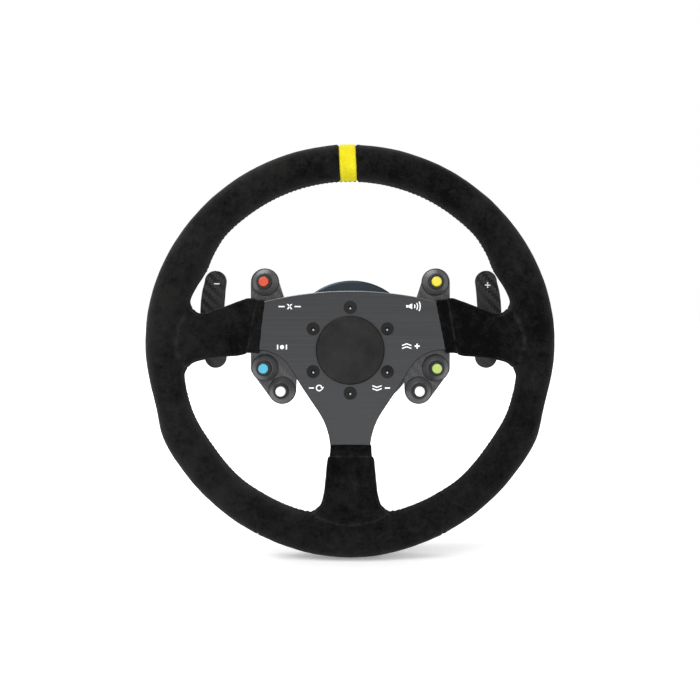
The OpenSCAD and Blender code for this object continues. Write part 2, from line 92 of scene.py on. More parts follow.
def at(x, y, z):
    """A point given along the steering axis, in the row's frame."""
    return Vector((x, -z, y)) * MM


def front_of(node):
    """Height of a node's face nearest the driver along the axis, in mm."""
    return -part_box(node)[0].y / MM


def back_of(node):
    """Height of a node's face furthest from the driver along the axis, in mm."""
    return -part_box(node)[1].y / MM


def middle_of(node):
    """Middle of a node's box, as x, y, z along the axis in mm."""
    low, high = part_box(node)
    mid = (low + high) / 2 / MM
    return mid.x, mid.z, -mid.y


def height_of(node):
    """Height of a node's box, in mm."""
    low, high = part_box(node)
    return (high.z - low.z) / MM


# ---- sizes taken from the frame ----
PLATE_Z = front_of("wheel_screws")
BOARD_Z = front_of("button_plate")
RIM_Z = middle_of("rim_grip")[2]
RIM_DEPTH = (front_of("rim_grip") - back_of("rim_grip")) / 2

# ---- camera ----
CAMERA_X = 7.0
CAMERA_Y = 24.0
CAMERA_DISTANCE = 600.0  # in front of the spoke plate's face
LENS = 37.8
SHIFT_X = -0.0126
SHIFT_Y = -0.0416


def make_camera():
    """Looks level at the wheel from in front, a little above its middle and to its right."""
    data = bpy.data.cameras.new("camera")
    data.lens = LENS
    data.shift_x = SHIFT_X
    data.shift_y = SHIFT_Y
    camera = bpy.data.objects.new("camera", data)
    bpy.context.scene.collection.objects.link(camera)
    camera.location = at(CAMERA_X, CAMERA_Y, PLATE_Z + CAMERA_DISTANCE)
    camera.rotation_euler = (math.radians(90), 0, 0)
    bpy.context.scene.camera = camera


make_camera()


# ---- mesh helpers ----
def closed_grid(rings, closed_rings=False):
    """Faces joining rings of equal length, with the ends capped unless the rings close up."""
    count, size = len(rings), len(rings[0])
    verts = [v for ring in rings for v in ring]
    faces = []
    for i in range(count if closed_rings else count - 1):
        for k in range(size):
            a = i * size + k
            b = i * size + (k + 1) % size
            c = ((i + 1) % count) * size + (k + 1) % size
            d = ((i + 1) % count) * size + k
            faces.append((a, b, c, d))
    if not closed_rings:
        faces.append(tuple(range(size - 1, -1, -1)))
        faces.append(tuple((count - 1) * size + k for k in range(size)))
    return verts, faces


def joined(parts):
    """Several lists of verts and faces as one."""
    verts, faces = [], []
    for part_verts, part_faces in parts:
        start = len(verts)
        verts += part_verts
        faces += [tuple(start + i for i in face) for face in part_faces]
    return verts, faces


def new_object(name, verts, faces, material, body, smooth=True):
    """A piece made from points and faces."""
    mesh = bpy.data.meshes.new(name)
    mesh.from_pydata([tuple(v) for v in verts], [], faces)
    mesh.validate()
    mesh.update()
    return place(name, mesh, material, body, smooth)


def place(name, mesh, material, body, smooth=True):
    """A piece in the scene, riding its body, with the given material."""
    obj = bpy.data.objects.new(name, mesh)
    bpy.context.scene.collection.objects.link(obj)
    mesh.materials.clear()
    mesh.materials.append(material)
    if smooth:
        mesh.shade_smooth()
    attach(obj, body)
    return obj


def apply_modifiers(obj):
    """Replaces an object's mesh with the evaluated one and drops its modifiers."""
    depsgraph = bpy.context.evaluated_depsgraph_get()
    mesh = bpy.data.meshes.new_from_object(obj.evaluated_get(depsgraph))
    obj.modifiers.clear()
    obj.data = mesh
    return obj


def merged_copy(node, band=0.0):
    """A node's mesh with its corners joined and its flat faces whole.

    A band gives its flat front and rear faces a strip of even quads along every edge, so that
    these can be rounded without pinching the long thin faces in between.
    """
    bm = bmesh.new()
    bm.from_mesh(frame["nodes"][node].data)
    bmesh.ops.remove_doubles(bm, verts=bm.verts, dist=2e-6)
    bmesh.ops.dissolve_limit(
        bm, angle_limit=math.radians(0.4), verts=bm.verts, edges=bm.edges
    )
    cut = bmesh.ops.triangulate(bm, faces=[f for f in bm.faces if len(f.verts) > 4])
    flat = [e for e in cut["edges"] if e.calc_face_angle(1) < 0.003]
    bmesh.ops.beautify_fill(bm, faces=cut["faces"], edges=flat, method="ANGLE")
    if band:
        level = [f for f in bm.faces if abs(f.normal.y) > 0.9999 and f.calc_area() > 1e-10]
        bmesh.ops.inset_region(bm, faces=level, thickness=band * MM, use_even_offset=True)
    mesh = bpy.data.meshes.new("fine_" + node)
    bm.to_mesh(mesh)
    bm.free()
    if "custom_normal" in mesh.attributes:
        mesh.attributes.remove(mesh.attributes["custom_normal"])
    return mesh


def refine(node, material, width, angle=30, edge=None, band=0.0):
    """A piece with small rounded edges that stands for a CAD node.

    The width and the band are in mm and the angle in degrees. The edges may have a material
    of their own.
    """
    body = frame["nodes"][node]["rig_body"]
    obj = place("fine_" + node, merged_copy(node, band), material, body)
    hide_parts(node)
    if not width:
        obj.data.set_sharp_from_angle(angle=math.radians(angle))
        return obj
    bevel = obj.modifiers.new("edges", "BEVEL")
    if edge:
        obj.data.materials.append(edge)
        bevel.material = 1
    bevel.width = width * MM
    bevel.segments = 2
    bevel.limit_method = "ANGLE"
    bevel.angle_limit = math.radians(angle)
    bevel.use_clamp_overlap = False
    bevel.miter_outer = "MITER_ARC"
    bevel.harden_normals = True
    return apply_modifiers(obj)


# ---- materials ----
def shader(name, **settings):
    """A new material and its Principled shader, with values set on the shader's sockets."""
    material = bpy.data.materials.new(name)
    material.use_nodes = True
    bsdf = material.node_tree.nodes["Principled BSDF"]
    for label, value in settings.items():
        bsdf.inputs[label.replace("_", " ")].default_value = value
    return material, material.node_tree, bsdf


def add(tree, kind, inputs=(), **properties):
    """A node with its properties and inputs set; an input is a value or another's output."""
    node = tree.nodes.new(kind)
    for key, value in properties.items():
        setattr(node, key, value)
    for key, value in dict(inputs).items():
        if isinstance(value, bpy.types.NodeSocket):
            tree.links.new(value, node.inputs[key])
        else:
            node.inputs[key].default_value = value
    return node


def calc(tree, operation, a, b=0.0):
    """Arithmetic on one or two values."""
    return add(tree, "ShaderNodeMath", {0: a, 1: b}, operation=operation).outputs[0]


def spread(tree, value, low, high, to_low, to_high):
    """Maps a value from one range to another, clamped."""
    inputs = {"Value": value, "From Min": low, "From Max": high, "To Min": to_low, "To Max": to_high}
    return add(tree, "ShaderNodeMapRange", inputs).outputs["Result"]


def place_on(tree, scale=(1, 1, 1), rotation=(0, 0, 0)):
    """The piece's own coordinates, in metres times scale."""
    coords = add(tree, "ShaderNodeTexCoord").outputs["Object"]
    inputs = {"Vector": coords, "Scale": scale, "Rotation": rotation}
    return add(tree, "ShaderNodeMapping", inputs).outputs["Vector"]


def clouds(tree, vector, scale, detail, rough):
    """Soft noise between nothing and one."""
    inputs = {"Vector": vector, "Scale": scale, "Detail": detail, "Roughness": rough}
    return add(tree, "ShaderNodeTexNoise", inputs).outputs["Fac"]


def blend_colours(tree, factor, a, b):
    """One colour turning into another as the factor goes from nothing to one."""
    inputs = {0: factor, 6: (*a, 1), 7: (*b, 1)}
    return add(tree, "ShaderNodeMix", inputs, data_type="RGBA").outputs[2]


def bumps(tree, bsdf, height, strength, distance_mm):
    """Roughens a shader's surface by a height that stands for so many mm."""
    inputs = {"Height": height, "Strength": strength, "Distance": distance_mm * MM}
    node = add(tree, "ShaderNodeBump", inputs)
    tree.links.new(node.outputs["Normal"], bsdf.inputs["Normal"])


def suede(name, dark, light, sheen=0.06, tone_drift=1.0):
    """Brushed suede: broad patches where the pile lies over, mottling, short strokes and fluff, and a
    painted highlight along seams and hems.
    """
    material, tree, bsdf = shader(
        name, Roughness=0.95, Specular_IOR_Level=0.06, Sheen_Weight=sheen, Sheen_Roughness=0.5,
        Sheen_Tint=(0.8, 0.8, 0.82, 1),
    )
    where = place_on(tree)
    patches = clouds(tree, where, 32, 5, 0.65)
    mottle = clouds(tree, where, 150, 4, 0.7)
    strokes = clouds(tree, where, 420, 4, 0.7)
    fluff = clouds(tree, where, 1100, 3, 0.6)
    mixed = 0.0
    for part, share in ((patches, 0.36), (mottle, 0.3), (strokes, 0.2), (fluff, 0.14)):
        mixed = calc(tree, "ADD", mixed, calc(tree, "MULTIPLY", part, share))
    # paler towards the left, and darker on the spokes inside the rim
    across = add(tree, "ShaderNodeSeparateXYZ", {0: where}).outputs["X"]
    flat = place_on(tree, (1, 0, 1))
    radius = add(tree, "ShaderNodeVectorMath", {0: flat}, operation="LENGTH").outputs["Value"]
    paler_left = spread(tree, across, -0.14, 0.06, 0.08 * tone_drift, 0.0)
    darker_spokes = spread(tree, radius, 0.112, 0.138, -0.038 * tone_drift, 0.0)
    lit = calc(tree, "ADD", mixed, calc(tree, "ADD", paler_left, darker_spokes))
    tone = spread(tree, lit, 0.44, 0.62, 0, 1)
    base = blend_colours(tree, tone, dark, light)
    # painted highlight along the raised edges beside seams and hems
    seam_highlight = add(tree, "ShaderNodeAttribute", attribute_name="seam_highlight").outputs["Fac"]
    edge = calc(tree, "MULTIPLY", seam_highlight, spread(tree, mottle, 0.38, 0.62, 0.05, 0.75))
    pale = tuple(min(1, c * 2.1) for c in light)
    both = {0: edge, 6: base, 7: (*pale, 1)}
    colour = add(tree, "ShaderNodeMix", both, data_type="RGBA").outputs[2]
    tree.links.new(colour, bsdf.inputs["Base Color"])
    height = calc(tree, "ADD", fluff, calc(tree, "MULTIPLY", strokes, 0.9))
    bumps(tree, bsdf, height, 0.6, 0.35)
    return material


def shades(colour, contrast):
    """A colour made darker and lighter by a share of itself."""
    return tuple(c * (1 - contrast) for c in colour), tuple(min(1, c * (1 + contrast)) for c in colour)


def brushed(name, colour, scale, rough=0.36):
    """Metal with straight brush lines: scale is small along the lines."""
    dark, light = shades(colour, 0.16)
    material, tree, bsdf = shader(name, Metallic=1.0, Anisotropic=0.4)
    lines = clouds(tree, place_on(tree, scale), 1.0, 5, 0.7)
    haze = clouds(tree, place_on(tree), 22, 3, 0.5)
    tone = spread(tree, lines, 0.3, 0.7, 0, 1)
    tree.links.new(blend_colours(tree, tone, dark, light), bsdf.inputs["Base Color"])
    both = calc(tree, "ADD", calc(tree, "MULTIPLY", lines, 0.6), calc(tree, "MULTIPLY", haze, 0.4))
    tree.links.new(spread(tree, both, 0.35, 0.65, rough - 0.07, rough + 0.07), bsdf.inputs["Roughness"])
    bumps(tree, bsdf, lines, 0.35, 0.02)
    return material


def turned(name, colour, rough, contrast=0.1, pitch=900):
    """Turned metal round the steering axis: fine rings, a light haze and small scuffs."""
    dark, light = shades(colour, contrast)
    material, tree, bsdf = shader(name, Metallic=1.0)
    flat = place_on(tree, (1, 0, 1))
    radius = add(tree, "ShaderNodeVectorMath", {0: flat}, operation="LENGTH").outputs["Value"]
    coords = add(tree, "ShaderNodeTexCoord").outputs["Object"]
    along = add(tree, "ShaderNodeSeparateXYZ", {0: coords}).outputs["Y"]
    rings = add(tree, "ShaderNodeCombineXYZ", {0: radius, 1: along, 2: 0.0}).outputs[0]
    lines = clouds(tree, rings, pitch, 4, 0.7)
    haze = clouds(tree, place_on(tree), 60, 4, 0.6)
    tone = calc(tree, "ADD", calc(tree, "MULTIPLY", lines, 0.5), calc(tree, "MULTIPLY", haze, 0.5))
    tree.links.new(
        blend_colours(tree, spread(tree, tone, 0.35, 0.65, 0, 1), dark, light),
        bsdf.inputs["Base Color"],
    )
    tree.links.new(spread(tree, tone, 0.35, 0.65, rough - 0.06, rough + 0.08), bsdf.inputs["Roughness"])
    bumps(tree, bsdf, lines, 0.25, 0.015)
    return material


def grained(name, colour, rough=0.5, grain=2600, depth=0.02, contrast=0.12, **settings):
    """Moulded plastic, rubber or bead-blasted metal: a fine even grain and a slight haze."""
    dark, light = shades(colour, contrast)
    material, tree, bsdf = shader(name, **settings)
    fine = clouds(tree, place_on(tree), grain, 2, 0.5)
    haze = clouds(tree, place_on(tree), 45, 3, 0.6)
    tone = calc(tree, "ADD", calc(tree, "MULTIPLY", fine, 0.35), calc(tree, "MULTIPLY", haze, 0.65))
    tree.links.new(
        blend_colours(tree, spread(tree, tone, 0.35, 0.65, 0, 1), dark, light),
        bsdf.inputs["Base Color"],
    )
    tree.links.new(spread(tree, haze, 0.35, 0.65, rough - 0.05, rough + 0.06), bsdf.inputs["Roughness"])
    bumps(tree, bsdf, fine, 0.4, depth)
    return material


def carbon(name, tow_mm=2.4, dark=0.003, light=0.044, coat=0.35):
    """Two-by-two twill carbon under lacquer: upright and level tows, each with its own sheen."""
    material, tree, bsdf = shader(
        name, Roughness=0.34, Specular_IOR_Level=0.5, Coat_Weight=coat, Coat_Roughness=0.14
    )
    coords = place_on(tree, (1 / (tow_mm * MM), 1, 1 / (tow_mm * MM)))
    parts = add(tree, "ShaderNodeSeparateXYZ", {0: coords})
    across, up = parts.outputs["X"], parts.outputs["Z"]
    cell = calc(tree, "ADD", calc(tree, "FLOOR", across), calc(tree, "FLOOR", up))
    warp = calc(tree, "LESS_THAN", calc(tree, "FLOORED_MODULO", cell, 4.0), 2.0)

    def crown(value):
        """Height over a tow's width: nothing at its edges, one in its middle."""
        return calc(tree, "SINE", calc(tree, "MULTIPLY", calc(tree, "FRACT", value), math.pi))

    fibres = clouds(tree, place_on(tree, (9000, 1, 400)), 1.0, 2, 0.5)
    fibres_level = clouds(tree, place_on(tree, (400, 1, 9000)), 1.0, 2, 0.5)

    def choose(level, upright):
        """One value on the level tows and another on the upright ones."""
        inputs = {0: warp, 2: level, 3: upright}
        return add(tree, "ShaderNodeMix", inputs, data_type="FLOAT").outputs[0]

    height = choose(crown(up), crown(across))
    strand = choose(fibres_level, fibres)
    glow = calc(tree, "ADD", calc(tree, "MULTIPLY", warp, 0.5), calc(tree, "MULTIPLY", strand, 0.5))
    shade = calc(tree, "MULTIPLY", glow, spread(tree, height, 0.0, 0.5, 0.35, 1))
    tone = spread(tree, shade, 0.1, 0.8, 0, 1)
    tree.links.new(
        blend_colours(tree, tone, (dark, dark, dark), (light, light, light * 0.97)),
        bsdf.inputs["Base Color"],
    )
    level_gloss = spread(tree, fibres_level, 0, 1, 0.3, 0.42)
    upright_gloss = spread(tree, fibres, 0, 1, 0.42, 0.6)
    tree.links.new(choose(level_gloss, upright_gloss), bsdf.inputs["Roughness"])
    bumps(tree, bsdf, height, 0.5, 0.12)
    return material


SUEDE = suede("black_suede", (0.0006, 0.0006, 0.0007), (0.0110, 0.0106, 0.0103))
MARKER = suede("yellow_suede", (0.54, 0.46, 0.009), (0.68, 0.62, 0.024), sheen=0.04, tone_drift=0.0)
PLATE = brushed("brushed_grey", (0.056, 0.057, 0.059), (9, 400, 1500))
# painted highlight: a lighter metal for the spoke plate's rounded edges
EDGE_HIGHLIGHT = brushed("painted_edge_highlight", (0.20, 0.215, 0.23), (200, 400, 900), rough=0.3)
ARM_METAL = brushed("brushed_arm", (0.16, 0.165, 0.175), (900, 400, 8))
HUB = turned("blue_grey_anodised", (0.047, 0.062, 0.075), rough=0.34)
BLACK_METAL = turned("black_anodised", (0.02, 0.02, 0.022), rough=0.34, contrast=0.2)
BEZEL = grained("bezel_anodised", (0.07, 0.07, 0.075), rough=0.44, grain=5000, Metallic=0.3)
# black used as painted shade: round the plate's holes, under each bezel, and in each bezel's barrel, which
# is black too
BLACK_SHADE = grained("black_and_painted_shade", (0.004, 0.004, 0.004), rough=0.6, grain=3000, depth=0.02)
GOLD = turned("gold_anodised", (1.0, 0.56, 0.06), rough=0.24, contrast=0.06)
STEEL = turned("ground_steel", (0.56, 0.56, 0.57), rough=0.26, pitch=1500)
SCREW_BLACK = grained("black_oxide", (0.013, 0.013, 0.013), rough=0.36, grain=1800, contrast=0.5,
                      Metallic=0.7, Specular_IOR_Level=0.3)
PLASTIC = grained("black_plastic", (0.018, 0.018, 0.019), rough=0.5)
CAP = grained("cap_plastic", (0.0095, 0.0092, 0.0090), rough=0.42, grain=1500, depth=0.008,
              contrast=0.75, Specular_IOR_Level=0.18)
CONTACT = turned("gold_plated", (0.9, 0.62, 0.2), rough=0.25)
RUBBER = grained("black_rubber", (0.015, 0.015, 0.015), rough=0.75, grain=1600, depth=0.05)
CARBON = carbon("twill_carbon")
BLADE_CARBON = carbon("matt_twill_carbon", dark=0.003, light=0.02, coat=0.1)
BOARD = grained("solder_mask", (0.02, 0.11, 0.05), rough=0.4, Coat_Weight=0.3)
PRINT = grained("white_print", (0.84, 0.84, 0.83), rough=0.6, contrast=0.04)
THREAD = grained("black_thread", (0.010, 0.010, 0.011), rough=0.8, grain=6000, depth=0.05)
BUTTON_COLOURS = {
    "red": (0.50, 0.052, 0.017),
    "yellow": (0.62, 0.54, 0.036),
    "blue": (0.064, 0.36, 0.51),
    "green": (0.36, 0.47, 0.12),
    "white_left": (0.86, 0.86, 0.86),
    "white_right": (0.86, 0.86, 0.86),
}


# ---- hard parts: every CAD node with its finish and the width of its broken edges, in mm ----
FINISHES = {
    "spline_insert": (STEEL, 0.1),
    "wire_grommet": (RUBBER, 0.4),
    "qr_base": (BLACK_METAL, 0.4),
    "base_screws": (SCREW_BLACK, 0.25),
    "spindle": (STEEL, 0.25),
    "contact_socket": (PLASTIC, 0.2),
    "qr_body": (BLACK_METAL, 0.15),
    "collar_clip": (STEEL, 0.1),
    "contact_pins": (CONTACT, 0.15),
    "electronics_case": (PLASTIC, 0.3),
    "circuit_board": (BOARD, 0.1),
    "cable_socket": (STEEL, 0.3),
    "plate_spacer": (BLACK_METAL, 0.1),
    "button_plate": (CARBON, 0.25),
    "rim_core": (STEEL, 0),
    "centre_cap": (CAP, 0.25),
    "wheel_screws": (SCREW_BLACK, 0.25),
    "button_bezels": (BEZEL, 0.2),
    "button_nuts": (STEEL, 0.3),
    "button_switches": (PLASTIC, 0.3),
    "paddle_housings": (PLASTIC, 0.5),
    "housing_screws": (STEEL, 0.3),
    "hinge_pins": (STEEL, 0.3),
    "housing_magnets": (STEEL, 0.3),
    "paddle_bumpers": (RUBBER, 0.3),
    "release_collar": (GOLD, 0.15),
    "collar_spring": (STEEL, 0),
}
for side in ("left", "right"):
    FINISHES["paddle_arm_" + side] = (ARM_METAL, 0.4)
    FINISHES["paddle_blade_" + side] = (BLADE_CARBON, 0.6)
    FINISHES["paddle_screws_" + side] = (SCREW_BLACK, 0.2)
    FINISHES["arm_magnet_" + side] = (STEEL, 0.2)
for number in range(1, 7):
    FINISHES[f"lock_ball_{number}"] = (STEEL, 0)
for label, colour in BUTTON_COLOURS.items():
    cap = grained("cap_" + label, colour, rough=0.42, grain=2400, depth=0.008, contrast=0.03)
    FINISHES["button_" + label] = (cap, 0.15)
    FINISHES["spring_" + label] = (STEEL, 0)


def hard_parts():
    """Every CAD node but the soft ones, with its finish; returns the pieces by node."""
    made = {node: refine(node, material, width) for node, (material, width) in FINISHES.items()}
    # the plate's rounded edges take the painted edge highlight
    made["spoke_frame"] = refine("spoke_frame", PLATE, 0.5, angle=40, edge=EDGE_HIGHLIGHT, band=0.8)
    made["hub"] = refine("hub", HUB, 0.4, band=0.5)
    return made


# ---- the rim's cover ----
# Radii of its outline by the angle from the top, in degrees: the grip swells at the thumbs.
OUTER = [(0, 164.9), (75, 164.8), (80, 164.4), (90, 163.5), (100, 161.6), (105, 160.8),
         (110, 162.6), (114, 164.9), (118, 164.7), (125, 163.9), (160, 163.7), (172, 164.8), (180, 164.7)]
INNER = [(0, 135.8), (40, 136.0), (48, 136.3), (51, 135.0), (56, 133.8), (61, 130.9),
         (67, 133.2), (71, 134.6), (97, 134.4), (112, 135.5), (125, 133.6), (139, 134.8),
         (148, 134.2), (165, 133.5), (180, 133.5)]
SQUARENESS = 2.15  # of its section: 2 is an ellipse
GRIP_HALF = 14.75  # half its width where its section is as deep as the CAD's
RIM_SIDES = 56
STEPS = 720
BLUR = 2.0  # in degrees
BLUR_STEPS = 20


def smooth_radii(points):
    """The radius at every half degree all round, from a few points down one side."""
    turns = np.arange(STEPS) * 360 / STEPS
    angles, radii = zip(*points)
    values = np.interp(np.minimum(turns, 360 - turns), angles, radii)
    reach = np.arange(-BLUR_STEPS, BLUR_STEPS + 1) * 360 / STEPS
    weights = np.exp(-0.5 * (reach / BLUR) ** 2)
    padded = np.concatenate([values[-BLUR_STEPS:], values, values[:BLUR_STEPS]])
    return np.convolve(padded, weights / weights.sum(), mode="valid")


OUTER_RADII = smooth_radii(OUTER)
INNER_RADII = smooth_radii(INNER)


def rim_radii(turn):
    """Middle radius and half width of the rim at an angle from the top, in degrees."""
    turns = np.arange(STEPS + 1) * 360 / STEPS
    outer = np.interp(np.mod(turn, 360), turns, np.append(OUTER_RADII, OUTER_RADII[0]))
    inner = np.interp(np.mod(turn, 360), turns, np.append(INNER_RADII, INNER_RADII[0]))
    return (outer + inner) / 2, (outer - inner) / 2


def rim_offset(turn, around, grow=0.0):
    """Radius and height above the rim's middle of a point on its section, in mm."""
    middle, half = rim_radii(turn)
    c, s = np.cos(np.radians(around)), np.sin(np.radians(around))
    power = 2 / SQUARENESS
    radius = middle + (half + grow) * np.sign(c) * np.abs(c) ** power
    height = (RIM_DEPTH * half / GRIP_HALF + grow) * np.sign(s) * np.abs(s) ** power
    return radius, height


def rim_point(turn, around, grow=0.0):
    """A point on the rim: turn from the top clockwise, around from outwards to the driver."""
    radius, height = rim_offset(turn, around, grow)
    a = math.radians(turn)
    return at(radius * math.sin(a), radius * math.cos(a), RIM_Z + height)


def rim_solid():
    """The whole rim, with a section at every degree."""
    rings = []
    for turn in range(360):
        rings.append([rim_point(turn, 360 * k / RIM_SIDES) for k in range(RIM_SIDES)])
    return closed_grid(rings, closed_rings=True)


# ---- the spokes' covers ----
# Heights of the side spoke's upper and lower edge, by the distance from the middle.
SIDE_TOP = [(68, 40.9), (72, 41.2), (79, 41.9), (84, 42.3), (92.6, 39.6), (101.6, 36.2),
            (111.7, 32.8), (118.4, 30.3), (122.3, 29.9), (124.8, 31.9), (128, 35.1), (130, 39),
            (133, 46), (141, 50)]
SIDE_LOW = [(68, -3.0), (76, -2.6), (84, -2.5), (87, -3.3), (92.7, -4.5), (99.9, -5),
            (112, -6.6), (118, -7.7), (124, -8.8), (128.4, -10.8), (132.3, -15), (134.5, -20.5), (137, -27),
            (141, -31)]
# How far from the middle each side cover ends, by the height.
END_LEFT = [(-5, 74.6), (0, 73.9), (9, 73.0), (18, 72.0), (27, 70.7), (33, 69.6), (37, 69.5), (43, 69)]
END_RIGHT = [(-5, 78), (1, 77.2), (9, 76.1), (16, 74.8), (22, 73.7), (28, 72.2), (39, 69.6), (43, 69)]
# Half the lower cover's width, and each cover's half thickness and place along the axis, by the
# distance from the middle.
LOW_WIDTH = [(76, 17.0), (86, 17.4), (88.5, 18.6), (100, 20.2), (115.4, 22), (125, 24.6), (130.3, 31),
             (134, 38), (141, 42)]
THICKNESS = [(68, 3.4), (88, 3.6), (97, 4.6), (112, 6.2), (124, 8.4), (132, 11), (141, 11)]
SPOKE_Z = [(68, 138), (92, 138.1), (100, 139.2), (112, 142.4), (124, 146.0), (132, 148.4),
           (141, 150)]
SIDE_START = 70
SIDE_LENGTH = 71
LOW_START = 76.7
LOW_LENGTH = 64
LOW_SHIFT = 0.5  # the lower cover sits this far to the right
SECTIONS = 60


def line(points, value):
    """The value read off a line through points."""
    places, values = zip(*points)
    return float(np.interp(value, places, values))


def spoke_ring(low, high, thick, height):
    """Section across a spoke: how far along its width and how high along the axis."""
    count = 36
    square_sides, square_faces = 3.6, 2.6
    ring = []
    mid, half = (low + high) / 2, (high - low) / 2
    side = min(half, thick)
    for k in range(count):
        a = 2 * math.pi * k / count
        c, s = math.cos(a), math.sin(a)
        bulge = side * math.copysign(abs(c) ** (2 / square_sides), c)
        width = bulge + math.copysign(half - side, c) if abs(c) > 1e-9 else 0
        ring.append((mid + width, height + thick * math.copysign(abs(s) ** (2 / square_faces), s)))
    return ring


def side_spoke(sign):
    """The right cover for a sign of 1 and the left one for -1, each cut off along its own end."""
    rings = []
    for i in range(SECTIONS):
        u = i / (SECTIONS - 1)
        x = SIDE_START + SIDE_LENGTH * u
        section = spoke_ring(line(SIDE_LOW, x), line(SIDE_TOP, x), line(THICKNESS, x), line(SPOKE_Z, x))
        lean = (1 - u) ** 6
        end = END_RIGHT if sign > 0 else END_LEFT
        ring = [at(sign * (x + (line(end, y) - SIDE_START) * lean), y, z) for y, z in section]
        rings.append(ring if sign > 0 else ring[::-1])
    return closed_grid(rings)


def low_spoke():
    """The lower cover."""
    rings = []
    for i in range(SECTIONS):
        y = LOW_START + LOW_LENGTH * i / (SECTIONS - 1)
        half = line(LOW_WIDTH, y)
        section = spoke_ring(-half, half, line(THICKNESS, y), line(SPOKE_Z, y))
        rings.append([at(x + LOW_SHIFT, -y, z) for x, z in section[::-1]])
    return closed_grid(rings)


# ---- seams, grooves and hems: signed distance from each, in mm ----
FAR = 60.0  # what a seam's distance is where the seam isn't
SIDE_SEAM = (137.2, 7.0)  # its outermost point
SIDE_SEAM_BEND = 0.0135
LOW_SEAM = -136.0  # its lowest point
LOW_SEAM_BEND = 0.0085
CROSS_SEAM = 73.5
SEAM_ANGLE = 183  # of the inner seam, round the rim's section, in degrees
MARKER_HALF = 6.6
HEM_TOP = 39.0
HEM_RIGHT = 80.3  # how far out the side hems end at that height
HEM_LEFT = 77.3
HEM_SLOPE = 0.175
HEM_LOW = 86.9


def seam_side(x, y, z):
    """Round the neck of each side spoke, where its cover meets the rim's."""
    up = y - SIDE_SEAM[1]
    slope = 2 * SIDE_SEAM_BEND * up
    d = (np.abs(x) - SIDE_SEAM[0] + SIDE_SEAM_BEND * up**2) / np.sqrt(1 + slope**2)
    return np.where(np.abs(x) > 60, d, FAR)


def seam_low(x, y, z):
    """Round the neck of the lower spoke."""
    here = (np.abs(x) < 44) & (y < -100)
    slope = 2 * LOW_SEAM_BEND * x
    d = (y - LOW_SEAM - LOW_SEAM_BEND * x**2) / np.sqrt(1 + slope**2)
    return np.where(here, d, FAR)


def seam_cross(x, y, z):
    """Straight across the rim on both sides of the lower spoke."""
    return np.where(y < -100, np.abs(x) - CROSS_SEAM, FAR)


def seam_inner(x, y, z):
    """Along the rim's inner side, a little to the rear, away from the spokes' necks."""
    radius = np.hypot(x, y)
    turn = np.degrees(np.arctan2(x, y))
    middle, half = rim_radii(turn)
    angle = np.degrees(np.arctan2((z - RIM_Z) / RIM_DEPTH, (radius - middle) / half))
    apart = np.mod(angle - SEAM_ANGLE + 180, 360) - 180
    return np.where(radius < middle - 0.5 * half, apart * 0.27, FAR)


def seam_back(x, y, z):
    """Down the middle of each spoke's back."""
    side = (np.abs(x) > 66) & (np.hypot(x, y) < 131) & (np.abs(y - 17) < 14)
    low = (y < -74) & (y > -131) & (np.abs(x) < 14)
    d = np.where(side, y - 17, np.where(low, x, FAR))
    return np.where(z < np.interp(np.hypot(x, y), *zip(*SPOKE_Z)) - 1, d, FAR)


def marker_centre(radius):
    """How far right the marker's middle is: it leans a little to the left."""
    return np.interp(radius, [135, 166], [-1.0, -2.4])


def marker_edge(x, y, z):
    """Negative under the marker."""
    away = np.abs(x - marker_centre(np.hypot(x, y))) - MARKER_HALF
    return np.where(y > 100, away, FAR)


def hem_side(x, y, z):
    """Negative within the flat hem at a side spoke's inner end."""
    here = (np.abs(x) > 60) & (np.hypot(x, y) < 126) & (np.abs(y - 18) < 30)
    start = np.where(x > 0, HEM_RIGHT, HEM_LEFT)
    return np.where(here, (np.abs(x) - start - (HEM_TOP - y) * HEM_SLOPE) / 1.02, FAR)


def hem_low(x, y, z):
    """Negative within the flat hem at the lower spoke's inner end."""
    here = (np.abs(x) < 32) & (y < -60) & (y > -122)
    return np.where(here, -y - HEM_LOW, FAR)


# each seam with its depth and width
GROOVES = [(seam_side, 0.75, 0.55), (seam_low, 0.75, 0.55), (seam_cross, 0.6, 0.5),
           (seam_inner, 0.6, 0.55), (seam_back, 0.6, 0.55), (marker_edge, 0.9, 0.8)]
HEMS = [hem_side, hem_low]
SKIN_GROWTH = 0.3  # what remeshing adds to the cover, in mm


def points_of(mesh):
    """A mesh's points as an array, in metres."""
    values = np.empty(len(mesh.vertices) * 3, np.float32)
    mesh.vertices.foreach_get("co", values)
    return values.reshape(-1, 3).astype(float)


def normals_of(mesh):
    """The way a mesh faces at each of its points."""
    values = np.empty(len(mesh.vertices) * 3, np.float32)
    mesh.vertex_normals.foreach_get("vector", values)
    return values.reshape(-1, 3).astype(float)


def along_axis(points):
    """Mesh points as x, y and z along the steering axis, in mm."""
    return points[:, 0] / MM, points[:, 2] / MM, -points[:, 1] / MM


def feature_distance(points):
    """Distance to the nearest seam or hem."""
    x, y, z = along_axis(points)
    found = [np.abs(f(x, y, z)) for f, _, _ in GROOVES] + [np.abs(f(x, y, z)) for f in HEMS]
    return np.minimum.reduce(found)


def relief(points):
    """How far the cover stands out: down in its seams, up beside them and beyond its hems."""
    x, y, z = along_axis(points)
    height = np.full(len(x), -SKIN_GROWTH)
    for distance, depth, width in GROOVES:
        d = distance(x, y, z)
        height -= depth * np.exp(-((d / width) ** 2))
        height += 0.2 * np.exp(-(((np.abs(d) - 2.2) / 1.4) ** 2))
    for hem in HEMS:
        d = hem(x, y, z)
        rise = np.where(d > 0, 1 - np.exp(-np.maximum(d, 0) / 0.9), 0)
        height += 0.75 * rise * np.exp(-((d / 16) ** 2))
        height -= 0.3 * np.exp(-((d / 0.5) ** 2))
    height -= np.where(marker_edge(x, y, z) < 0, 1.0, 0)
    return height


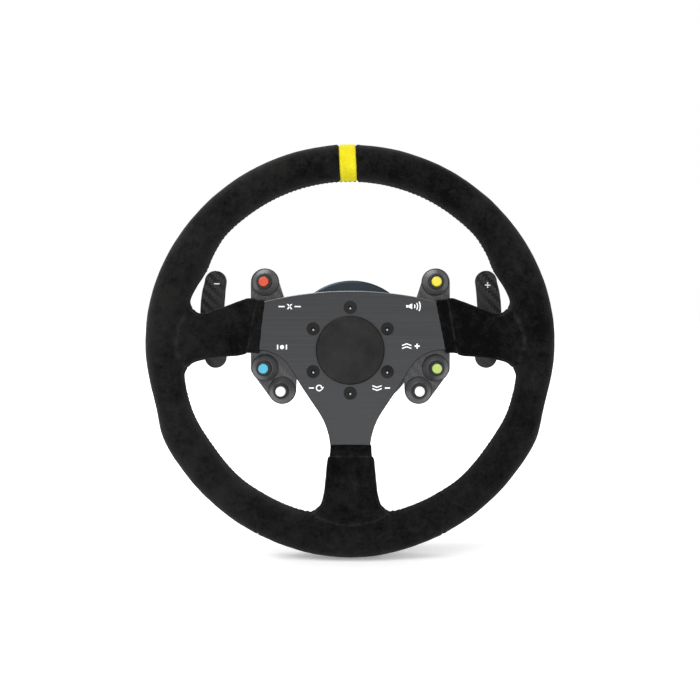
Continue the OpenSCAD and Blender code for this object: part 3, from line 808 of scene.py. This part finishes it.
def seam_highlight(points):
    """Painted highlight: how much paler the cover is painted along the raised edges beside seams and hems.
    """
    x, y, z = along_axis(points)
    value = np.zeros(len(x))
    for distance, width in ((seam_side, 1.3), (seam_low, 1.1), (hem_side, 0.6), (hem_low, 0.6)):
        value = np.maximum(value, np.exp(-(((distance(x, y, z) + 0.4) / width) ** 2)))
    value = np.maximum(value, 0.5 * np.exp(-((seam_cross(x, y, z) / 0.6) ** 2)))
    return value


def unevenness(points):
    """Slow waves where the cover was pulled over the foam, and creases at the lower spoke."""
    x, y, z = along_axis(points)
    values = [noise.noise(Vector(p) * 45) * 0.28 + noise.noise(Vector(p) * 150) * 0.1 for p in points]
    height = np.array(values)
    near = np.exp(-(((np.abs(x) - 33) / 7) ** 2) - ((y + 129) / 6) ** 2)
    crease = np.sin((np.abs(x) * 0.8 + y) * 1.4) * 0.45
    return height + near * crease


def relax(bm, verts, turns):
    """Smooths points towards their neighbours, so many times."""
    for _ in range(turns):
        bmesh.ops.smooth_vert(
            bm, verts=verts, factor=0.5, use_axis_x=True, use_axis_y=True, use_axis_z=True
        )


def near_junction(point):
    """True where a spoke runs into the rim, which the cover rounds off."""
    x, y = abs(point.x) / MM, point.z / MM
    side = 112 < x < 139 and -34 < y < 56
    low = abs(x) < 46 and -140 < y < -118
    return side or low


VOXEL = 1.35  # of the remeshed skin
NEAR_SEAM = 2.6  # the skin is finer this close to a seam


def suede_cover():
    """The rim and the three spokes' covers in one skin, with seams, hems and slight waves."""
    verts, faces = joined([rim_solid(), side_spoke(1), side_spoke(-1), low_spoke()])
    obj = new_object("suede_cover", verts, faces, SUEDE, "wheel")
    remesh = obj.modifiers.new("skin", "REMESH")
    remesh.mode = "VOXEL"
    remesh.voxel_size = VOXEL * MM
    apply_modifiers(obj)
    bm = bmesh.new()
    bm.from_mesh(obj.data)
    relax(bm, bm.verts, 3)
    relax(bm, [v for v in bm.verts if near_junction(v.co)], 14)
    centres = np.array([f.calc_center_median() for f in bm.faces])
    close = feature_distance(centres) < NEAR_SEAM
    edges = {e for f, c in zip(bm.faces, close) if c for e in f.edges}
    bmesh.ops.subdivide_edges(bm, edges=sorted(edges, key=lambda e: e.index), cuts=1, use_grid_fill=True)
    relax(bm, bm.verts, 1)
    bmesh.ops.triangulate(bm, faces=[f for f in bm.faces if len(f.verts) > 4])
    bm.to_mesh(obj.data)
    bm.free()
    points = points_of(obj.data)
    moved = points + normals_of(obj.data) * ((relief(points) + unevenness(points)) * MM)[:, None]
    # painted highlight along seams and hems, kept on the points
    highlight_layer = obj.data.attributes.new("seam_highlight", "FLOAT", "POINT")
    highlight_layer.data.foreach_set("value", seam_highlight(points).astype(np.float32))
    obj.data.vertices.foreach_set("co", moved.astype(np.float32).ravel())
    obj.data.update()
    obj.data.materials.clear()
    obj.data.materials.append(SUEDE)
    obj.data.shade_smooth()
    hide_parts("rim_grip", "sleeve_left", "sleeve_right", "sleeve_bottom")
    return obj


def marker_band():
    """The yellow band round the top of the rim, with its edges turned in."""
    rings = []
    for k in range(96):
        around = 360 * k / 96
        ring = []
        for j in range(-8, 9):
            across = j / 8
            grow = -0.1 - 0.9 * abs(across) ** 8
            radius, height = rim_offset(0, around, grow)
            x = float(marker_centre(radius)) + across * MARKER_HALF
            ring.append(at(x, math.sqrt(radius**2 - x**2), RIM_Z + height))
        under = []
        for j in (6, 0, -6):
            radius, height = rim_offset(0, around, -2.2)
            x = float(marker_centre(radius)) + j / 8 * MARKER_HALF
            under.append(at(x, math.sqrt(radius**2 - x**2), RIM_Z + height))
        rings.append(ring + under)
    verts, faces = closed_grid(rings, closed_rings=True)
    obj = new_object("marker_band", verts, faces, MARKER, "wheel")
    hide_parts("centre_marker")


STITCH_LENGTH = 3.6
STITCH_WIDTH = 0.85
STITCH_SLANT = 0.35  # how far it leans along the seam


def stitch(centre, along, up):
    """One stitch of thread: a small rounded bar, sunk at its ends."""
    length, width = STITCH_LENGTH * MM, STITCH_WIDTH * MM
    across = along.cross(up).normalized()
    rings = []
    for i in range(7):
        u = -1 + 2 * i / 6
        swell = math.sqrt(max(0.02, 1 - u**4))
        middle = centre + along * (u * length / 2) - up * (u**4 * width * 0.6)
        rings.append([
            middle + (across * math.cos(a) + up * math.sin(a) * 0.8) * (width / 2 * swell)
            for a in (2 * math.pi * k / 8 for k in range(8))
        ])
    return closed_grid(rings)


def inner_stitches():
    """Slanted stitches along the seam on the rim's inner side, left out at the spokes."""
    parts = []
    count = 230
    for i in range(count):
        turn = 360 * i / count
        side_neck = 62 < turn < 104 or 256 < turn < 298
        if side_neck or 163 < turn < 197:
            continue
        here = rim_point(turn, SEAM_ANGLE, 0.05)
        tangent = (rim_point(turn + 0.5, SEAM_ANGLE) - rim_point(turn - 0.5, SEAM_ANGLE)).normalized()
        round_it = (rim_point(turn, SEAM_ANGLE + 4) - rim_point(turn, SEAM_ANGLE - 4)).normalized()
        up = tangent.cross(round_it).normalized()
        if up.dot(here - at(0, 0, RIM_Z)) > 0:
            up = -up
        parts.append(stitch(here, (round_it + tangent * STITCH_SLANT).normalized(), up))
    verts, faces = joined(parts)
    new_object("rim_stitches", verts, faces, THREAD, "wheel")


def back_stitches(cover):
    """Slanted stitches down the seam on each spoke's back."""
    tree = BVHTree.FromPolygons([v.co for v in cover.data.vertices],
                                [p.vertices for p in cover.data.polygons])
    places = [(sign * (75 + STITCH_LENGTH * i), 17, (1, 0)) for sign in (1, -1) for i in range(15)]
    places += [(0, -80 - STITCH_LENGTH * i, (0, 1)) for i in range(13)]
    parts = []
    for x, y, run in places:
        here, normal, _, _ = tree.ray_cast(at(x, y, 90), at(0, 0, 1).normalized())
        if here is None:
            continue
        along = (at(run[1], run[0], 0) + at(run[0], run[1], 0) * STITCH_SLANT).normalized()
        along = (along - normal * along.dot(normal)).normalized()
        parts.append(stitch(here + normal * 0.1 * MM, along, normal))
    verts, faces = joined(parts)
    new_object("spoke_stitches", verts, faces, THREAD, "wheel")


# ---- printed marks: flat shapes a little proud of the surface under them ----
PRINT_HEIGHT = 0.07
PRINT_FOOT = 0.05


def ring_shapes(x, y, outer, inner, start=0, end=360, steps=24):
    """Pieces of a flat ring, each with four corners."""
    shapes = []
    for i in range(steps):
        a0 = math.radians(start + (end - start) * i / steps)
        a1 = math.radians(start + (end - start) * (i + 1) / steps)
        shapes.append([
            (x + r * math.cos(a), y + r * math.sin(a))
            for r, a in ((inner, a0), (outer, a0), (outer, a1), (inner, a1))
        ])
    return shapes


def bar(x, y, width, height):
    """An upright or level bar about a point."""
    return [(x - width / 2, y - height / 2), (x + width / 2, y - height / 2),
            (x + width / 2, y + height / 2), (x - width / 2, y + height / 2)]


def slant(x, y, width, height, thick):
    """A bar from corner to corner of a box; a negative height falls to the right."""
    low, high = y - height / 2, y + height / 2
    return [(x - width / 2, low), (x - width / 2 + thick, low), (x + width / 2, high),
            (x + width / 2 - thick, high)]


def chevron(x, y, width, height, thick):
    """Two slanted bars that meet at a point; a negative height points down."""
    half = width / 2
    drop = math.copysign(thick, height)
    return [[(x - half, y - height / 2), (x, y + height / 2 - drop), (x, y + height / 2),
             (x - half, y - height / 2 + drop)],
            [(x, y + height / 2 - drop), (x + half, y - height / 2),
             (x + half, y - height / 2 + drop), (x, y + height / 2)]]


def plus(x, y, size, thick):
    """A plus sign of three bars that don't overlap."""
    arm = (size - thick) / 2
    return [bar(x, y, size, thick), bar(x, y + (thick + arm) / 2, thick, arm),
            bar(x, y - (thick + arm) / 2, thick, arm)]


def sign_cancel(x, y):
    """A cross between two bars."""
    cross = [slant(x, y, 4.6, 4.2, 1.2), slant(x, y, 4.6, -4.2, 1.2)]
    return cross + [bar(x - 6.6, y, 5.0, 1.0), bar(x + 6.6, y, 5.0, 1.0)]


def sign_horn(x, y):
    """A sounding trumpet."""
    body = [bar(x - 5.6, y, 1.8, 2.0),
            [(x - 4.4, y - 1.0), (x - 1.6, y - 2.3), (x - 1.6, y + 2.3), (x - 4.4, y + 1.0)]]
    waves = []
    for radius in (3.2, 5.4, 7.6):
        waves += ring_shapes(x - 2.2, y, radius, radius - 0.9, -32, 32, 8)
    return body + waves


def sign_set(x, y):
    """A dot between two uprights."""
    return ring_shapes(x, y, 1.7, 0.0) + [bar(x - 3.6, y, 1.0, 4.0), bar(x + 3.6, y, 1.0, 4.0)]


def sign_reset(x, y):
    """An arrow that runs back to where it started."""
    head = [(x + 1.2, y + 0.9), (x + 4.0, y + 0.9), (x + 2.6, y - 1.5)]
    return ring_shapes(x, y, 2.7, 1.8, 25, 330, 22) + [head, bar(x - 6.2, y, 4.0, 1.0)]


def sign_speed(x, y, up):
    """Two chevrons and a plus, or two turned over and a minus."""
    rise = 2.4 if up else -2.4
    mark = plus(x + 6.0, y, 4.2, 1.1) if up else [bar(x + 6.0, y, 4.2, 1.1)]
    return chevron(x - 2.5, y + 1.2, 7.6, rise, 1.0) + chevron(x - 2.5, y - 1.2, 7.6, rise, 1.0) + mark


def printed(name, shapes, z, body, material=PRINT):
    """Thin raised print: every shape becomes a small slab whose foot is in the surface."""
    verts, faces = [], []
    for shape in shapes:
        area = sum(a[0] * b[1] - b[0] * a[1] for a, b in zip(shape, shape[1:] + shape[:1]))
        shape = shape if area > 0 else shape[::-1]
        start, count = len(verts), len(shape)
        verts += [at(x, y, z - PRINT_FOOT) for x, y in shape]
        verts += [at(x, y, z + PRINT_HEIGHT) for x, y in shape]
        faces.append(tuple(start + i for i in reversed(range(count))))
        faces.append(tuple(start + count + i for i in range(count)))
        for i in range(count):
            j = (i + 1) % count
            faces.append((start + i, start + j, start + count + j, start + count + i))
    new_object(name, verts, faces, material, body, smooth=False)


def plate_marks():
    """A sign beside each of the six buttons."""
    shapes = sign_cancel(-49.5, 35.7) + sign_horn(52.2, 35.9) + sign_set(-55.7, 2.6)
    shapes += sign_speed(48.6, 3.4, True) + sign_reset(-25.4, -30.8) + sign_speed(24.4, -30.8, False)
    printed("plate_marks", shapes, PLATE_Z, "wheel")


def paddle_marks():
    """A minus on the left paddle and a plus on the right one."""
    face = front_of("paddle_blade_left")
    printed("mark_minus", [bar(-117.2, 56.5, 5.0, 1.05)], face, "paddle_left")
    printed("mark_plus", plus(119.7, 55.3, 5.0, 1.0), face, "paddle_right")


# ---- small extras on the hard parts ----
BARREL_R = 6.5  # just outside a bezel's barrel
BARREL_DEPTH = 4
HOLES_R = 41.5  # round all the plate's screw holes
PLATE_DEPTH = 3
SOCKET_DEPTH = 2.2  # of a plate screw
SCREW_R = 5.15


def repaint(obj, material, chosen):
    """Gives a material to the faces whose middle, along the axis in mm, is chosen."""
    obj.data.materials.append(material)
    slot = len(obj.data.materials) - 1
    for face in obj.data.polygons:
        x, y, z = along_axis(np.array([face.center]))
        if chosen(x[0], y[0], z[0], face):
            face.material_index = slot


def blacken_rings(bezels):
    """The barrel of each bezel, which the cap runs in, is black; painting it black also stands for the
    shade in the recess round the cap.
    """
    sites = [middle_of("button_" + label) for label in BUTTON_COLOURS]
    top = front_of("button_bezels")

    def on_barrel(x, y, z, face):
        away = min(math.hypot(x - s[0], y - s[1]) for s in sites)
        return away < BARREL_R and z > top - BARREL_DEPTH

    repaint(bezels, BLACK_SHADE, on_barrel)


def darken_edges(plate):
    """Painted shade: the rims of the holes and the faces of the outline that look down are painted black,
    so only the upper outline keeps the painted edge highlight.
    """
    def at_hole(x, y, z, face):
        on_edge = face.material_index == 1 and z > PLATE_Z - PLATE_DEPTH
        return on_edge and math.hypot(x, y) < HOLES_R

    def facing_down(x, y, z, face):
        return face.material_index == 1 and face.normal.z < -0.05

    # painted shade in the gaps round the screw heads and the centre cap
    repaint(plate, BLACK_SHADE, at_hole)
    # painted shade under the plate's lower outline
    repaint(plate, BLACK_METAL, facing_down)


def socket_glints():
    """Painted glint: a bright steel patch low in each socket of the plate's six screws, where the socket's
    floor would catch the light.
    """
    x, y, _ = middle_of("wheel_screws")
    pitch = (height_of("wheel_screws") - 2 * SCREW_R) / 2
    shapes = []
    for k in range(6):
        a = math.radians(60 * k)
        px, py = x + pitch * math.sin(a), y + pitch * math.cos(a)
        shapes.append([(px, py + 0.1), (px - 1.8, py - 2.3), (px + 1.8, py - 2.3)])
    floor = PLATE_Z - SOCKET_DEPTH
    # painted glints: bright triangles on each socket's floor
    printed("socket_glints", shapes, floor, "wheel", STEEL)


def bezel_shadow_rings():
    """Painted shadow: a thin black ring under each bezel, just wider than it, where the bezel meets the
    board.
    """
    profile = [(-1.2, 0.15), (0.0, 0.15), (0.35, 0.1), (0.45, 0.0), (0.35, -0.1), (-1.2, -0.1)]
    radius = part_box("button_bezels")[1].x / MM - middle_of("button_yellow")[0]
    parts = []
    for label in BUTTON_COLOURS:
        x, y, _ = middle_of("button_" + label)
        rings = []
        for k in range(64):
            a = 2 * math.pi * k / 64
            rings.append([
                at(x + (radius + r) * math.sin(a), y + (radius + r) * math.cos(a), BOARD_Z + z)
                for r, z in profile
            ])
        parts.append(closed_grid(rings, closed_rings=True))
    verts, faces = joined(parts)
    new_object("bezel_shadow_rings", verts, faces, BLACK_SHADE, "wheel")


def switch_lugs():
    """Two solder lugs on the back of each switch."""
    back = back_of("button_switches")
    outline = [(-0.25, -1.1), (0.25, -1.1), (0.25, 1.1), (-0.25, 1.1)]
    levels = [(back + 0.6, 1.0), (back - 1.6, 1.0), (back - 2.4, 0.5)]
    lugs = []
    for label in BUTTON_COLOURS:
        x, y, _ = middle_of("button_" + label)
        for side in (-2.6, 2.6):
            slab = [[at(x + side + px, y + py * k, z) for px, py in outline] for z, k in levels]
            lugs.append(closed_grid(slab))
    verts, faces = joined(lugs)
    new_object("switch_lugs", verts, faces, CONTACT, "wheel", smooth=False)


def compress_springs(parts):
    """Gives each spring that a joint deforms a mesh of its own."""
    for joint in frame["record"]["behaviour"]["joints"]:
        for spring in joint.get("deforming_nodes", []):
            low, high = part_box(spring["node"])
            anchor = (low + high) / 2
            anchor.y = spring["fixed_end_y_m"]
            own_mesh(parts[spring["node"]])


parts = hard_parts()
compress_springs(parts)
blacken_rings(parts["button_bezels"])
darken_edges(parts["spoke_frame"])
socket_glints()
bezel_shadow_rings()
switch_lugs()
cover = suede_cover()
marker_band()
inner_stitches()
back_stitches(cover)
plate_marks()
paddle_marks()


# ---- floor and light ----
def make_floor():
    """A wide pale floor under the rim, lit up with distance so that it meets a white horizon."""
    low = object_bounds()[0].z - 0.0002
    reach = 40.0
    verts = [(-reach, -reach, low), (reach, -reach, low), (reach, reach, low), (-reach, reach, low)]
    mesh = bpy.data.meshes.new("floor")
    mesh.from_pydata(verts, [], [(0, 1, 2, 3)])
    floor = bpy.data.objects.new("floor", mesh)
    white = grained("floor_white", (0.92, 0.92, 0.92), rough=0.9, grain=300, depth=0.01, contrast=0.01)
    tree = white.node_tree
    lift = tree.nodes["Principled BSDF"]
    lift.inputs["Emission Color"].default_value = (1, 1, 1, 1)
    far = add(tree, "ShaderNodeVectorMath", {0: place_on(tree)}, operation="LENGTH").outputs["Value"]
    tree.links.new(spread(tree, far, 0.5, 1.8, 0.24, 0.8), lift.inputs["Emission Strength"])
    floor.data.materials.append(white)
    bpy.context.scene.collection.objects.link(floor)


def lamp(name, place_at, target, size, watts):
    """A soft lamp turned towards a point."""
    data = bpy.data.lights.new(name, "AREA")
    data.shape = "RECTANGLE"
    data.size, data.size_y = size
    data.energy = watts
    light = bpy.data.objects.new(name, data)
    bpy.context.scene.collection.objects.link(light)
    light.location = place_at
    light.rotation_euler = (Vector(target) - Vector(place_at)).to_track_quat("-Z", "Y").to_euler()


def make_light():
    """A white studio whose ceiling is darker than its walls, with three soft lamps."""
    world = bpy.data.worlds.new("studio")
    world.use_nodes = True
    tree = world.node_tree
    background = tree.nodes["Background"]
    background.inputs["Color"].default_value = (1, 1, 1, 1)
    towards = add(tree, "ShaderNodeTexCoord").outputs["Generated"]
    up = add(tree, "ShaderNodeSeparateXYZ", {0: towards}).outputs["Z"]
    tree.links.new(spread(tree, up, 0.5, 0.72, 1.0, 0.3), background.inputs["Strength"])
    bpy.context.scene.world = world
    wheel = (0, -0.1, 0)
    lamp("key", (-0.5, -1.1, 1.5), wheel, (1.4, 1.0), 22)
    lamp("fill", (1.3, -1.2, 0.5), wheel, (0.9, 1.2), 5)
    lamp("top", (-0.5, 0.75, 1.5), wheel, (1.6, 1.2), 26)


make_floor()
make_light()
bpy.context.scene.view_settings.view_transform = "Standard"
